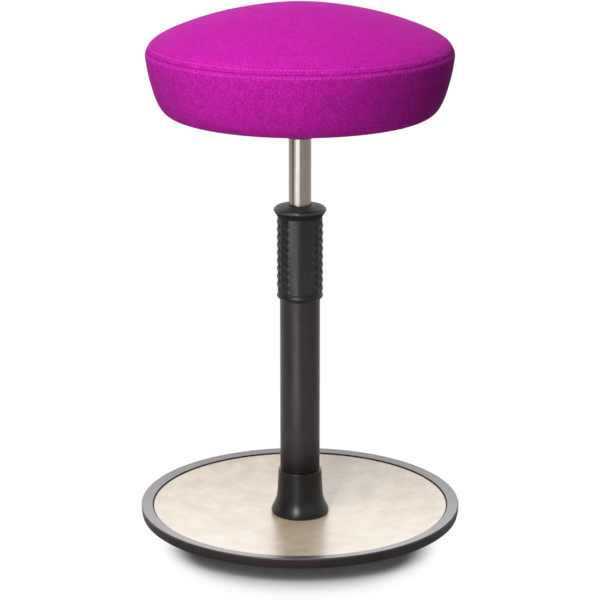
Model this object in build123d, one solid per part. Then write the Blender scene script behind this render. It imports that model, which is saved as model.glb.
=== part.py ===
from build123d import *
import math
import os

# Sit-stand stool: a domed seat on a gas spring that slides and turns in a tube,
# and a round rocking base. Millimetres, floor at z 0, axis on Z, front is -Y.
# The seat is drawn at the height in the photo.

# Base: everything round the rim follows from the rim's radius and section
RIM_RADIUS = 202.1
RIM_WIDTH = 15.1
RIM_TOP = 31.2
RIM_FALL = 1.4
RIM_EDGE = 1.2
RIM_WALL = 13.4
RIM_GROOVE = 5.0
SOLE_LAP = 0.6
DECK_GAP = 0.5
SEAT_FIT = 0.2
BOWL_RADIUS = 1330.0
SOLE_HEIGHT = -0.2
SOLE_THICK = 5.2
DISH_THICK = 6.0
DECK_THICK = 4.3
PAD_LAP = 22.0
PAD_THICK = 3.2
PAD_FIT = 0.3

# Column foot
FLANGE_RADIUS = 32.0
FLANGE_THICK = 8.0
FLANGE_FIT = 1.0
SPIGOT_HEIGHT = 42.6
SPIGOT_WALL = 8.0
SPIGOT_BORE = 14.0
SPIGOT_FIT = 0.1
FLANGE_SCREW_RADIUS = 3.0
FLANGE_SCREW_HEAD = 5.8
FLANGE_SCREW_REACH = 15.0
SCREW_COUNT = 4
SCREW_FIT = 0.1
SOCKET_RADIUS = 2.3
SOCKET_DEPTH = 2.3
BOOT_HEIGHT = 58.4
BOOT_LIP_WALL = 4.5
BOOT_NECK_WALL = 2.4
BOOT_FIT = 0.6

# Column tube, bush and grip
TUBE_RADIUS = 25.0
TUBE_WALL = 2.0
TUBE_LENGTH = 391.6
SLEEVE_FIT = 0.1
BUSH_LENGTH = 62.0
BUSH_COLLAR = 3.0
BUSH_FIT = 0.05
GRIP_LENGTH = 119.5
GRIP_CAP = 4.1
GRIP_WALL = 2.7
GRIP_COLLAR = 4.8
GRIP_HOLE_GAP = 0.4

# Gas spring
CYLINDER_RADIUS = 13.9
CYLINDER_WALL = 1.7
CYLINDER_LENGTH = 358.4
CYLINDER_LIP = 2.7
TAPER_LENGTH = 30.9
TAPER_DRAW = 0.9
VALVE_WALL = 2.0
VALVE_LENGTH = 56.4
VALVE_PIN_RADIUS = 4.0
VALVE_PIN_LENGTH = 35.3
VALVE_PIN_TRAVEL = 4.0
VALVE_PIN_CROWN = 0.8
ROD_RADIUS = 5.0
ROD_STEP = 1.0
ROD_LENGTH = 297.2
GUIDE_LENGTH = 18.0
PISTON_LENGTH = 16.0
PISTON_GAP = 0.3
SEAL_CORD = 1.25
NUT_THICK = 5.0
NUT_RADIUS = 7.0
CLIP_THICK = 1.2
CLIP_WIDTH = 4.2
BUFFER_WALL = 8.0
BUFFER_HEIGHT = 21.0
RUN_GAP = 0.05
PRESS_FIT = 0.03

# Thrust bearing
RACE_WIDTH = 5.5
RACE_THICK = 3.0
RACE_GAP = 2.8
BALL_RADIUS = 2.5
BALL_CIRCLE = 10.5
BALL_COUNT = 10
CAGE_THICK = 1.6
CAGE_WIDTH = 3.6

# Seat
SEAT_LOW = 533.8
SEAM_RADIUS = 185.2
SEAM_HEIGHT = 79.2
SEAM_SINK = 0.8
CROWN_RISE = 54.0
SHOULDER_WIDTH = 23.2
SHOULDER_RISE = 18.9
COVER_THICK = 1.4
FOAM_GAP = 0.4
LINING_THICK = 1.0
BOARD_INSET = 35.2
BOARD_THICK = 15.0
BOARD_CENTRE = 27.0
HEM_WIDTH = 9.0
HUB_WALL = 10.1
PLATE_THICK = 4.0
PLATE_SIDE = 150.0
PLATE_EDGE = 15.0
PLATE_CORNER = 14.0
PLATE_SCREW_RADIUS = 2.9
PLATE_SCREW_HEAD = 5.6
PLATE_SCREW_RISE = 3.0
NUT_FLANGE_RADIUS = 9.3
NUT_FLANGE_THICK = 1.3
NUT_WALL = 1.05
STAPLE_COUNT = 24
STAPLE_WIDTH = 10.0
STAPLE_WIRE = 1.0
STAPLE_LEG = 6.3

# Release lever
PIVOT_REACH = 30.0
PIVOT_RISE = 7.6
PIVOT_RADIUS = 2.5
PIVOT_BOSS = 5.2
LEVER_THICK = 5.0
LEVER_WIDTH = 14.0
LEVER_DROP = 13.5
LEVER_TAIL = 39.0
LEVER_KNEE = 13.0
LEVER_ELBOW = 39.0
LEVER_REACH = 88.0
LEVER_REST_GAP = 0.15
EAR_THICK = 3.0
EAR_SIDE_GAP = 1.2
EAR_RADIUS = 6.0
HANDLE_LENGTH = 44.0
HANDLE_WIDTH = 30.0
HANDLE_THICK = 10.0
HANDLE_OVERLAP = 34.0
SLOT_MARGIN = 8.0

# Places that follow from the sizes above, base first
RIM_INNER = RIM_RADIUS - RIM_WIDTH
RIM_LOW = RIM_TOP - RIM_WALL
DISH_RADIUS = RIM_INNER + RIM_GROOVE
SOLE_RADIUS = RIM_INNER + SOLE_LAP
DECK_RADIUS = RIM_INNER - DECK_GAP
DISH_LOW_HEIGHT = SOLE_HEIGHT + SOLE_THICK
DISH_TOP_HEIGHT = DISH_LOW_HEIGHT + DISH_THICK
DECK_TOP_HEIGHT = DISH_TOP_HEIGHT + DECK_THICK
HUB_FLAT_RADIUS = FLANGE_RADIUS + FLANGE_FIT
PAD_RADIUS = HUB_FLAT_RADIUS + PAD_LAP


def turned(*edges):
    """A solid turned about Z from a closed outline of (radius, height) edges."""
    outline = Curve() + list(edges)
    return revolve(Plane.XZ * make_face(outline), Axis.Z)


def turned_points(*points):
    """A solid turned about Z from the corners of its outline."""
    return turned(Polyline(*points, points[0]))


def ring(inner, outer, low, high):
    """A plain ring or, with no inner radius, a disc."""
    if inner:
        return turned_points((inner, low), (outer, low), (outer, high), (inner, high))
    return Pos(0, 0, low) * extrude(Circle(outer), high - low)


def around(count, radius, shape, start=0.0):
    """Copies of a shape at equal turns about Z."""
    turn = 360.0 / count
    return [Rot(0, 0, start + i * turn) * Pos(radius, 0, 0) * shape for i in range(count)]


def at_points(points, shape):
    """Copies of a shape at plan positions."""
    return [Pos(x, y, 0) * shape for x, y in points]


def bowl(radius, height):
    """Height of a bowl surface of the base at a radius."""
    return height + BOWL_RADIUS - math.sqrt(BOWL_RADIUS ** 2 - radius ** 2)


def bowl_arc(start, end, height):
    """The bowl surface between two radii, as an arc of the outline."""
    middle = (start + end) / 2
    points = [(r, bowl(r, height)) for r in (start, middle, end)]
    return ThreePointArc(*points)


def inside_of(curve, distance, count, start=0.0, end=1.0):
    """Points at a distance on the inner side of a curve that runs from the crown outward and down."""
    points = []
    for i in range(count):
        share = start + (end - start) * i / (count - 1)
        place, way = curve @ share, curve % share
        points.append((place.X + way.Y * distance, place.Y - way.X * distance))
    return points


def save(name, solid):
    """Writes one piece, or one group of like pieces, under its name."""
    solids = solid.solids() if hasattr(solid, "solids") else [s for p in solid for s in p.solids()]
    shape = solids[0] if len(solids) == 1 else Compound(children=list(solids))
    shape.label = name
    export_step(shape, "parts/%s.step" % name)


os.makedirs("parts", exist_ok=True)

# Floor pad: closes the sole's service hole and is the flat the stool stands on

centre_pad = chamfer(ring(0, PAD_RADIUS - PAD_FIT, 0, PAD_THICK).edges().group_by(Axis.Z)[0], 0.6)

# Sole: rubber bowl under the dish, with a recess for the pad

rocker_sole = turned(
    Line((HUB_FLAT_RADIUS, PAD_THICK), (PAD_RADIUS, PAD_THICK)),
    Line((PAD_RADIUS, PAD_THICK), (PAD_RADIUS, bowl(PAD_RADIUS, SOLE_HEIGHT))),
    bowl_arc(PAD_RADIUS, SOLE_RADIUS, SOLE_HEIGHT),
    Line((SOLE_RADIUS, bowl(SOLE_RADIUS, SOLE_HEIGHT)), (SOLE_RADIUS, bowl(SOLE_RADIUS, DISH_LOW_HEIGHT))),
    bowl_arc(SOLE_RADIUS, HUB_FLAT_RADIUS, DISH_LOW_HEIGHT),
    Line((HUB_FLAT_RADIUS, bowl(HUB_FLAT_RADIUS, DISH_LOW_HEIGHT)), (HUB_FLAT_RADIUS, PAD_THICK)),
)

# Dish: pressed steel bowl with a flat at the centre for the column's flange

HUB_LOW = bowl(HUB_FLAT_RADIUS, DISH_LOW_HEIGHT)
HUB_TOP = bowl(HUB_FLAT_RADIUS, DISH_TOP_HEIGHT)
base_dish = turned(
    Line((SPIGOT_BORE, HUB_LOW), (HUB_FLAT_RADIUS, HUB_LOW)),
    bowl_arc(HUB_FLAT_RADIUS, DISH_RADIUS, DISH_LOW_HEIGHT),
    Line(
        (DISH_RADIUS, bowl(DISH_RADIUS, DISH_LOW_HEIGHT)),
        (DISH_RADIUS, bowl(DISH_RADIUS, DISH_TOP_HEIGHT)),
    ),
    bowl_arc(DISH_RADIUS, HUB_FLAT_RADIUS, DISH_TOP_HEIGHT),
    Line((HUB_FLAT_RADIUS, HUB_TOP), (SPIGOT_BORE, HUB_TOP)),
    Line((SPIGOT_BORE, HUB_TOP), (SPIGOT_BORE, HUB_LOW)),
)

# Four countersunk screws hold the foot flange to the dish from below.
SPIGOT_RADIUS = TUBE_RADIUS - TUBE_WALL - SPIGOT_FIT
FLANGE_SCREW_CIRCLE = (SPIGOT_BORE + SPIGOT_RADIUS) / 2
HEAD_FACE = HUB_LOW + SCREW_FIT
HEAD_END = HEAD_FACE + FLANGE_SCREW_HEAD - FLANGE_SCREW_RADIUS
SCREW_TIP = HUB_TOP + FLANGE_SCREW_REACH
HOLE_RADIUS = FLANGE_SCREW_RADIUS + SCREW_FIT
flange_screw = turned_points(
    (0, HEAD_FACE),
    (FLANGE_SCREW_HEAD, HEAD_FACE),
    (FLANGE_SCREW_RADIUS, HEAD_END),
    (FLANGE_SCREW_RADIUS, SCREW_TIP),
    (0, SCREW_TIP),
)
screw_socket = Pos(0, 0, HEAD_FACE) * extrude(RegularPolygon(SOCKET_RADIUS, 6), SOCKET_DEPTH)
screw_hole = turned_points(
    (0, HUB_LOW - 1),
    (HOLE_RADIUS + HEAD_END - HUB_LOW + 1, HUB_LOW - 1),
    (HOLE_RADIUS, HEAD_END),
    (HOLE_RADIUS, SCREW_TIP + 2),
    (0, SCREW_TIP + 2),
)
flange_screws = around(SCREW_COUNT, FLANGE_SCREW_CIRCLE, flange_screw - screw_socket, 45)
flange_screw_holes = around(SCREW_COUNT, FLANGE_SCREW_CIRCLE, screw_hole, 45)
base_dish -= flange_screw_holes

# Deck: pale insert that lies in the dish

deck_insert = turned(
    bowl_arc(HUB_FLAT_RADIUS, DECK_RADIUS, DISH_TOP_HEIGHT),
    Line(
        (DECK_RADIUS, bowl(DECK_RADIUS, DISH_TOP_HEIGHT)),
        (DECK_RADIUS, bowl(DECK_RADIUS, DECK_TOP_HEIGHT)),
    ),
    bowl_arc(DECK_RADIUS, HUB_FLAT_RADIUS, DECK_TOP_HEIGHT),
    Line((HUB_FLAT_RADIUS, bowl(HUB_FLAT_RADIUS, DECK_TOP_HEIGHT)), (HUB_FLAT_RADIUS, HUB_TOP)),
)

# The rim is moulded round the dish's edge: a groove holds the steel, the top lip
# stands above the insert and falls towards it, and the underside slopes in to the sole.
GROOVE_LOW = bowl(SOLE_RADIUS, DISH_LOW_HEIGHT)
LIP_IN = RIM_TOP - RIM_FALL
RIM_FOOT = SOLE_RADIUS + SEAT_FIT
edge_ring = turned(
    Line((RIM_INNER, GROOVE_LOW + 2), (RIM_INNER, LIP_IN - 1.1)),
    ThreePointArc((RIM_INNER, LIP_IN - 1.1), (RIM_INNER + 0.4, LIP_IN - 0.35), (RIM_INNER + 1.3, LIP_IN)),
    Line((RIM_INNER + 1.3, LIP_IN), (RIM_RADIUS - RIM_EDGE, RIM_TOP)),
    ThreePointArc(
        (RIM_RADIUS - RIM_EDGE, RIM_TOP),
        (RIM_RADIUS - 0.3 * RIM_EDGE, RIM_TOP - 0.33 * RIM_EDGE),
        (RIM_RADIUS, RIM_TOP - 1.1 * RIM_EDGE),
    ),
    Line((RIM_RADIUS, RIM_TOP - 1.1 * RIM_EDGE), (RIM_RADIUS - 0.3, RIM_TOP - 6.5)),
    Line((RIM_RADIUS - 0.3, RIM_TOP - 6.5), (RIM_RADIUS - 1.3, RIM_LOW + 1.4)),
    ThreePointArc(
        (RIM_RADIUS - 1.3, RIM_LOW + 1.4), (RIM_RADIUS - 1.9, RIM_LOW + 0.4), (RIM_RADIUS - 3.0, RIM_LOW)
    ),
    Line((RIM_RADIUS - 3.0, RIM_LOW), (RIM_FOOT, RIM_LOW - 3.2)),
    Line((RIM_FOOT, RIM_LOW - 3.2), (RIM_FOOT, GROOVE_LOW)),
    Line((RIM_FOOT, GROOVE_LOW), (RIM_INNER, GROOVE_LOW + 2)),
)
edge_ring -= base_dish

# Column foot: flange with a spigot inside the tube, and the rubber boot over it

FLANGE_TOP = HUB_TOP + FLANGE_THICK
SPIGOT_TOP = FLANGE_TOP + SPIGOT_HEIGHT
SPIGOT_CEILING = SPIGOT_TOP - SPIGOT_WALL
ROD_PIN_RADIUS = ROD_RADIUS - ROD_STEP
foot_flange = turned_points(
    (SPIGOT_BORE, HUB_TOP),
    (FLANGE_RADIUS, HUB_TOP),
    (FLANGE_RADIUS, FLANGE_TOP - 1),
    (FLANGE_RADIUS - 1, FLANGE_TOP),
    (SPIGOT_RADIUS, FLANGE_TOP),
    (SPIGOT_RADIUS, SPIGOT_TOP - 1),
    (SPIGOT_RADIUS - 1, SPIGOT_TOP),
    (ROD_PIN_RADIUS + RUN_GAP, SPIGOT_TOP),
    (ROD_PIN_RADIUS + RUN_GAP, SPIGOT_CEILING),
    (SPIGOT_BORE, SPIGOT_CEILING),
)
foot_flange -= flange_screw_holes

BOOT_CAVITY = FLANGE_RADIUS + BOOT_FIT
BOOT_LIP_RADIUS = FLANGE_RADIUS + BOOT_LIP_WALL
BOOT_BORE = TUBE_RADIUS + SLEEVE_FIT
BOOT_NECK_RADIUS = TUBE_RADIUS + BOOT_NECK_WALL
BOOT_LOW = bowl(BOOT_LIP_RADIUS, DECK_TOP_HEIGHT) + RUN_GAP
BOOT_TOP = BOOT_LOW + BOOT_HEIGHT
flare = BOOT_LIP_RADIUS - BOOT_NECK_RADIUS
boot_wall = [
    (BOOT_LIP_RADIUS, BOOT_LOW + 4.2),
    (BOOT_NECK_RADIUS + 0.78 * flare, BOOT_LOW + 9.8),
    (BOOT_NECK_RADIUS + 0.495 * flare, BOOT_LOW + 15.2),
    (BOOT_NECK_RADIUS + 0.297 * flare, BOOT_LOW + 20.8),
    (BOOT_NECK_RADIUS + 0.154 * flare, BOOT_LOW + 30.7),
    (BOOT_NECK_RADIUS + 0.066 * flare, BOOT_LOW + 44.2),
    (BOOT_NECK_RADIUS, BOOT_TOP - 0.7),
]
foot_boot = turned(
    Line((BOOT_CAVITY, BOOT_LOW), (BOOT_LIP_RADIUS - 1.8, BOOT_LOW)),
    ThreePointArc(
        (BOOT_LIP_RADIUS - 1.8, BOOT_LOW),
        (BOOT_LIP_RADIUS - 0.5, BOOT_LOW + 1.2),
        (BOOT_LIP_RADIUS, BOOT_LOW + 4.2),
    ),
    Spline(*boot_wall),
    ThreePointArc(
        (BOOT_NECK_RADIUS, BOOT_TOP - 0.7),
        (BOOT_NECK_RADIUS - 0.25, BOOT_TOP - 0.2),
        (BOOT_NECK_RADIUS - 0.8, BOOT_TOP),
    ),
    Line((BOOT_NECK_RADIUS - 0.8, BOOT_TOP), (BOOT_BORE, BOOT_TOP)),
    Line((BOOT_BORE, BOOT_TOP), (BOOT_BORE, FLANGE_TOP + 7)),
    Line((BOOT_BORE, FLANGE_TOP + 7), (BOOT_CAVITY, FLANGE_TOP + BOOT_FIT)),
    Line((BOOT_CAVITY, FLANGE_TOP + BOOT_FIT), (BOOT_CAVITY, BOOT_LOW)),
)

# Column tube, and the plastic bush that guides the cylinder in its top

TUBE_TOP = FLANGE_TOP + TUBE_LENGTH
column_tube = ring(TUBE_RADIUS - TUBE_WALL, TUBE_RADIUS, FLANGE_TOP, TUBE_TOP)

BUSH_BORE = CYLINDER_RADIUS + RUN_GAP
BUSH_LOW = TUBE_TOP - BUSH_LENGTH
BUSH_TOP = TUBE_TOP + BUSH_COLLAR
BUSH_RADIUS = TUBE_RADIUS - TUBE_WALL - BUSH_FIT
COLLAR_RADIUS = TUBE_RADIUS - SEAT_FIT
guide_bush = turned_points(
    (BUSH_BORE, BUSH_LOW + 1.5),
    (BUSH_BORE + 1.5, BUSH_LOW),
    (BUSH_RADIUS - 1.5, BUSH_LOW),
    (BUSH_RADIUS, BUSH_LOW + 3),
    (BUSH_RADIUS, TUBE_TOP),
    (COLLAR_RADIUS, TUBE_TOP),
    (COLLAR_RADIUS, BUSH_TOP - 0.8),
    (COLLAR_RADIUS - 0.8, BUSH_TOP),
    (BUSH_BORE + 0.8, BUSH_TOP),
    (BUSH_BORE, BUSH_TOP - 0.8),
)

# The grip is a rubber sleeve pulled over the tube: a domed collar with a lip and a conical
# underside closes its top round the cylinder, and a bead and a cone finish its foot.
GRIP_BORE = TUBE_RADIUS + SLEEVE_FIT
GRIP_BODY = GRIP_BORE + GRIP_WALL
GRIP_EDGE = GRIP_BODY + GRIP_COLLAR
GRIP_HOLE = CYLINDER_RADIUS + GRIP_HOLE_GAP
GRIP_CEILING = BUSH_TOP + SEAT_FIT
GRIP_TOP = GRIP_CEILING + GRIP_CAP
GRIP_LOW = GRIP_TOP - GRIP_LENGTH
DOME_IN = (GRIP_HOLE + 0.8, GRIP_TOP)
DOME_OUT = (GRIP_EDGE - 3.2, GRIP_TOP - 2.0)
DOME_MID = ((DOME_IN[0] + DOME_OUT[0]) / 2 + 0.1, GRIP_TOP - 0.4)
LIP_WIDEST = (GRIP_EDGE, GRIP_TOP - 5.6)
LIP_LOW = (GRIP_EDGE - 0.25, GRIP_TOP - 7.0)
COLLAR_LOW = (GRIP_BODY, GRIP_TOP - 14.0)
grip_sleeve = turned(
    Line((GRIP_BORE, GRIP_LOW), (GRIP_BORE, GRIP_CEILING)),
    Line((GRIP_BORE, GRIP_CEILING), (GRIP_HOLE, GRIP_CEILING)),
    Line((GRIP_HOLE, GRIP_CEILING), (GRIP_HOLE, GRIP_TOP - 0.6)),
    Line((GRIP_HOLE, GRIP_TOP - 0.6), DOME_IN),
    ThreePointArc(DOME_IN, DOME_MID, DOME_OUT),
    ThreePointArc(DOME_OUT, (GRIP_EDGE - 1.1, GRIP_TOP - 3.4), LIP_WIDEST),
    ThreePointArc(LIP_WIDEST, (GRIP_EDGE, GRIP_TOP - 6.3), LIP_LOW),
    Line(LIP_LOW, COLLAR_LOW),
    Line(COLLAR_LOW, (GRIP_BODY, GRIP_LOW + 7.4)),
    Line((GRIP_BODY, GRIP_LOW + 7.4), (GRIP_BODY + 0.8, GRIP_LOW + 5.6)),
    ThreePointArc(
        (GRIP_BODY + 0.8, GRIP_LOW + 5.6),
        (GRIP_BODY + 1.1, GRIP_LOW + 4.4),
        (GRIP_BODY + 0.6, GRIP_LOW + 3.3),
    ),
    Line((GRIP_BODY + 0.6, GRIP_LOW + 3.3), (GRIP_BORE + 0.7, GRIP_LOW)),
    Line((GRIP_BORE + 0.7, GRIP_LOW), (GRIP_BORE, GRIP_LOW)),
)

# Thrust bearing under the rod: fixed race, caged balls, turning race

BEARING_TOP = SPIGOT_TOP + 2 * RACE_THICK + RACE_GAP
BALL_HEIGHT = SPIGOT_TOP + RACE_THICK + RACE_GAP / 2
RACE_BORE = ROD_PIN_RADIUS + PISTON_GAP
RACE_RADIUS = BALL_CIRCLE + RACE_WIDTH
ball_track = Pos(0, 0, BALL_HEIGHT) * Torus(BALL_CIRCLE, BALL_RADIUS + RUN_GAP)
lower_race = ring(RACE_BORE, RACE_RADIUS, SPIGOT_TOP, SPIGOT_TOP + RACE_THICK) - ball_track
upper_race = ring(RACE_BORE, RACE_RADIUS, BEARING_TOP - RACE_THICK, BEARING_TOP) - ball_track
ball = Pos(0, 0, BALL_HEIGHT) * Sphere(BALL_RADIUS)
bearing_balls = around(BALL_COUNT, BALL_CIRCLE, ball)
cage_hole = Pos(0, 0, BALL_HEIGHT - CAGE_THICK) * extrude(Circle(BALL_RADIUS + RUN_GAP), 2 * CAGE_THICK)
ball_cage = ring(
    BALL_CIRCLE - CAGE_WIDTH,
    BALL_CIRCLE + CAGE_WIDTH,
    BALL_HEIGHT - CAGE_THICK / 2,
    BALL_HEIGHT + CAGE_THICK / 2,
)
ball_cage -= around(BALL_COUNT, BALL_CIRCLE, cage_hole)

# Piston rod: a stepped foot with a clip groove, the rod, and a stepped top

CLIP_TOP = SPIGOT_CEILING - 0.4
CLIP_LOW = CLIP_TOP - CLIP_THICK
CLIP_GROOVE = ROD_PIN_RADIUS - 0.7
PISTON_LOW = BEARING_TOP + ROD_LENGTH
PISTON_TOP = PISTON_LOW + PISTON_LENGTH
ROD_END = PISTON_TOP + NUT_THICK + 0.6
piston_rod = turned_points(
    (0, CLIP_LOW - 3),
    (ROD_PIN_RADIUS - 0.6, CLIP_LOW - 3),
    (ROD_PIN_RADIUS, CLIP_LOW - 2.4),
    (ROD_PIN_RADIUS, CLIP_LOW),
    (CLIP_GROOVE, CLIP_LOW),
    (CLIP_GROOVE, CLIP_TOP),
    (ROD_PIN_RADIUS, CLIP_TOP),
    (ROD_PIN_RADIUS, BEARING_TOP),
    (ROD_RADIUS, BEARING_TOP),
    (ROD_RADIUS, PISTON_LOW),
    (ROD_PIN_RADIUS, PISTON_LOW),
    (ROD_PIN_RADIUS, ROD_END),
    (0, ROD_END),
)
retaining_clip = ring(
    CLIP_GROOVE + PRESS_FIT,
    ROD_PIN_RADIUS + CLIP_WIDTH,
    CLIP_LOW + RUN_GAP,
    CLIP_TOP - RUN_GAP,
)
clip_mouth = ROD_PIN_RADIUS + CLIP_WIDTH
mouth_cut = Box(clip_mouth + 4, 2 * CLIP_GROOVE - 1.2, 4 * CLIP_THICK)
retaining_clip -= Pos(clip_mouth / 2, 0, CLIP_LOW) * mouth_cut

BUFFER_BORE = ROD_RADIUS + SEAT_FIT
BUFFER_RADIUS = ROD_RADIUS + BUFFER_WALL
BUFFER_TOP = BEARING_TOP + BUFFER_HEIGHT
BUFFER_WAIST = BEARING_TOP + BUFFER_HEIGHT / 2
rubber_buffer = turned_points(
    (BUFFER_BORE, BEARING_TOP),
    (BUFFER_RADIUS, BEARING_TOP),
    (BUFFER_RADIUS, BUFFER_WAIST - 3.5),
    (BUFFER_RADIUS - 1.6, BUFFER_WAIST),
    (BUFFER_RADIUS, BUFFER_WAIST + 3.5),
    (BUFFER_RADIUS, BUFFER_TOP - 1.5),
    (BUFFER_RADIUS - 1.5, BUFFER_TOP),
    (BUFFER_BORE, BUFFER_TOP),
)

CYLINDER_BORE = CYLINDER_RADIUS - CYLINDER_WALL
SEAL_HEIGHT = PISTON_LOW + PISTON_LENGTH / 2
SEAL_CIRCLE = CYLINDER_BORE - RUN_GAP - SEAL_CORD
SEAL_FLOOR = SEAL_CIRCLE - SEAL_CORD - RUN_GAP
SEAL_HALF = SEAL_CORD + 0.1
PISTON_RADIUS = CYLINDER_BORE - PISTON_GAP
PISTON_BORE = ROD_PIN_RADIUS + PRESS_FIT
piston = turned_points(
    (PISTON_BORE, PISTON_LOW),
    (PISTON_RADIUS - 1, PISTON_LOW),
    (PISTON_RADIUS, PISTON_LOW + 1),
    (PISTON_RADIUS, SEAL_HEIGHT - SEAL_HALF),
    (SEAL_FLOOR, SEAL_HEIGHT - SEAL_HALF),
    (SEAL_FLOOR, SEAL_HEIGHT + SEAL_HALF),
    (PISTON_RADIUS, SEAL_HEIGHT + SEAL_HALF),
    (PISTON_RADIUS, PISTON_TOP - 1),
    (PISTON_RADIUS - 1, PISTON_TOP),
    (PISTON_BORE, PISTON_TOP),
)
piston_seal = Pos(0, 0, SEAL_HEIGHT) * Torus(SEAL_CIRCLE, SEAL_CORD)
piston_nut = Pos(0, 0, PISTON_TOP) * extrude(RegularPolygon(NUT_RADIUS, 6), NUT_THICK)
piston_nut -= ring(0, PISTON_BORE, PISTON_TOP - 1, PISTON_TOP + NUT_THICK + 1)

# Heights under the seat: the board lies on the hem, the lining and plate under the board

BOARD_LOW = SEAT_LOW + COVER_THICK
BOARD_TOP = BOARD_LOW + BOARD_THICK
LINING_LOW = BOARD_LOW - LINING_THICK
PLATE_LOW = LINING_LOW - PLATE_THICK
PIVOT_Z = BOARD_LOW + PIVOT_RISE
LEVER_OUTER_Z = SEAT_LOW - LEVER_DROP

# Gas cylinder with its rolled foot, rod guide, taper and valve

CYLINDER_TOP = BOARD_LOW
CYLINDER_LOW = CYLINDER_TOP - CYLINDER_LENGTH
CYLINDER_FLOOR = CYLINDER_LOW + 2
CYLINDER_MOUTH = CYLINDER_BORE - CYLINDER_LIP
TAPER_LOW = CYLINDER_TOP - TAPER_LENGTH
TAPER_TOP_RADIUS = CYLINDER_RADIUS - TAPER_DRAW
VALVE_BORE = TAPER_TOP_RADIUS - VALVE_WALL
VALVE_SHOULDER = CYLINDER_TOP - VALVE_LENGTH
gas_cylinder = turned_points(
    (CYLINDER_MOUTH, CYLINDER_LOW),
    (CYLINDER_RADIUS - 1.2, CYLINDER_LOW),
    (CYLINDER_RADIUS, CYLINDER_LOW + 1.6),
    (CYLINDER_RADIUS, TAPER_LOW),
    (TAPER_TOP_RADIUS, CYLINDER_TOP),
    (VALVE_BORE, CYLINDER_TOP),
    (VALVE_BORE, VALVE_SHOULDER),
    (CYLINDER_BORE, VALVE_SHOULDER),
    (CYLINDER_BORE, CYLINDER_FLOOR),
    (CYLINDER_MOUTH, CYLINDER_FLOOR),
)
GUIDE_TOP = CYLINDER_FLOOR + GUIDE_LENGTH
GUIDE_BORE = ROD_RADIUS + RUN_GAP
rod_guide = turned_points(
    (GUIDE_BORE, CYLINDER_FLOOR),
    (CYLINDER_BORE - PRESS_FIT, CYLINDER_FLOOR),
    (CYLINDER_BORE - PRESS_FIT, GUIDE_TOP),
    (ROD_RADIUS + 2, GUIDE_TOP),
    (GUIDE_BORE, GUIDE_TOP - 2),
)
VALVE_PIN_TOP = PIVOT_Z - LEVER_THICK / 2 - LEVER_REST_GAP
VALVE_PIN_LOW = VALVE_PIN_TOP - VALVE_PIN_LENGTH
VALVE_FLOOR = VALVE_PIN_LOW - VALVE_PIN_TRAVEL
VALVE_FACE = CYLINDER_TOP - 0.6
VALVE_PIN_BORE = VALVE_PIN_RADIUS + RUN_GAP
valve_body = turned_points(
    (0, VALVE_SHOULDER - 4),
    (CYLINDER_BORE - PRESS_FIT, VALVE_SHOULDER - 4),
    (CYLINDER_BORE - PRESS_FIT, VALVE_SHOULDER),
    (VALVE_BORE - PRESS_FIT, VALVE_SHOULDER),
    (VALVE_BORE - PRESS_FIT, VALVE_FACE),
    (VALVE_PIN_BORE, VALVE_FACE),
    (VALVE_PIN_BORE, VALVE_FLOOR),
    (0, VALVE_FLOOR),
)
# The pin's head is crowned, so the lever rolls on it.
CROWN_FOOT = VALVE_PIN_TOP - VALVE_PIN_CROWN
CROWN_RADIUS = (VALVE_PIN_RADIUS ** 2 + VALVE_PIN_CROWN ** 2) / (2 * VALVE_PIN_CROWN)
CROWN_ANGLE = math.degrees(math.asin(VALVE_PIN_RADIUS / CROWN_RADIUS))
valve_pin = turned(
    CenterArc((0, VALVE_PIN_TOP - CROWN_RADIUS), CROWN_RADIUS, 90 - CROWN_ANGLE, CROWN_ANGLE),
    Line((0, VALVE_PIN_TOP), (0, VALVE_PIN_LOW)),
    Line((0, VALVE_PIN_LOW), (VALVE_PIN_RADIUS, VALVE_PIN_LOW)),
    Line((VALVE_PIN_RADIUS, VALVE_PIN_LOW), (VALVE_PIN_RADIUS, CROWN_FOOT)),
)

# Seat plate with its taper hub, screwed up into the seat board

HUB_RADIUS = CYLINDER_RADIUS + HUB_WALL
HUB_BORE = CYLINDER_RADIUS + PRESS_FIT
HUB_DRAW = TAPER_DRAW * (LINING_LOW - TAPER_LOW) / TAPER_LENGTH
taper_hub = turned_points(
    (HUB_BORE, TAPER_LOW),
    (HUB_RADIUS - 4, TAPER_LOW),
    (HUB_RADIUS - 3, TAPER_LOW + 1),
    (HUB_RADIUS, PLATE_LOW - 5),
    (HUB_RADIUS, LINING_LOW),
    (HUB_BORE - HUB_DRAW, LINING_LOW),
)
PLATE_HOLE = PLATE_SIDE / 2 - PLATE_EDGE
PLATE_HOLE_RADIUS = PLATE_SCREW_RADIUS + 0.4
plate_points = [(x, y) for x in (-PLATE_HOLE, PLATE_HOLE) for y in (-PLATE_HOLE, PLATE_HOLE)]
plate_hole = Pos(0, 0, PLATE_LOW - 5) * extrude(Circle(PLATE_HOLE_RADIUS), BOARD_TOP - PLATE_LOW + 10)
SLOT_HALF = LEVER_WIDTH / 2 + SLOT_MARGIN
KNEE_X = PIVOT_REACH + LEVER_KNEE
ELBOW_X = PIVOT_REACH + LEVER_ELBOW
slot_cut = Box(PLATE_SIDE, LEVER_WIDTH + SLOT_MARGIN, 4 * PLATE_THICK)
plate_slot = Pos(KNEE_X + PLATE_SIDE / 2, 0, PLATE_LOW) * slot_cut
plate_face = RectangleRounded(PLATE_SIDE, PLATE_SIDE, PLATE_CORNER)
seat_plate = Pos(0, 0, PLATE_LOW) * extrude(plate_face, PLATE_THICK)
seat_plate -= ring(0, HUB_RADIUS + PRESS_FIT, PLATE_LOW - 1, LINING_LOW + 1)
seat_plate -= plate_slot
seat_plate -= at_points(plate_points, plate_hole)

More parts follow.
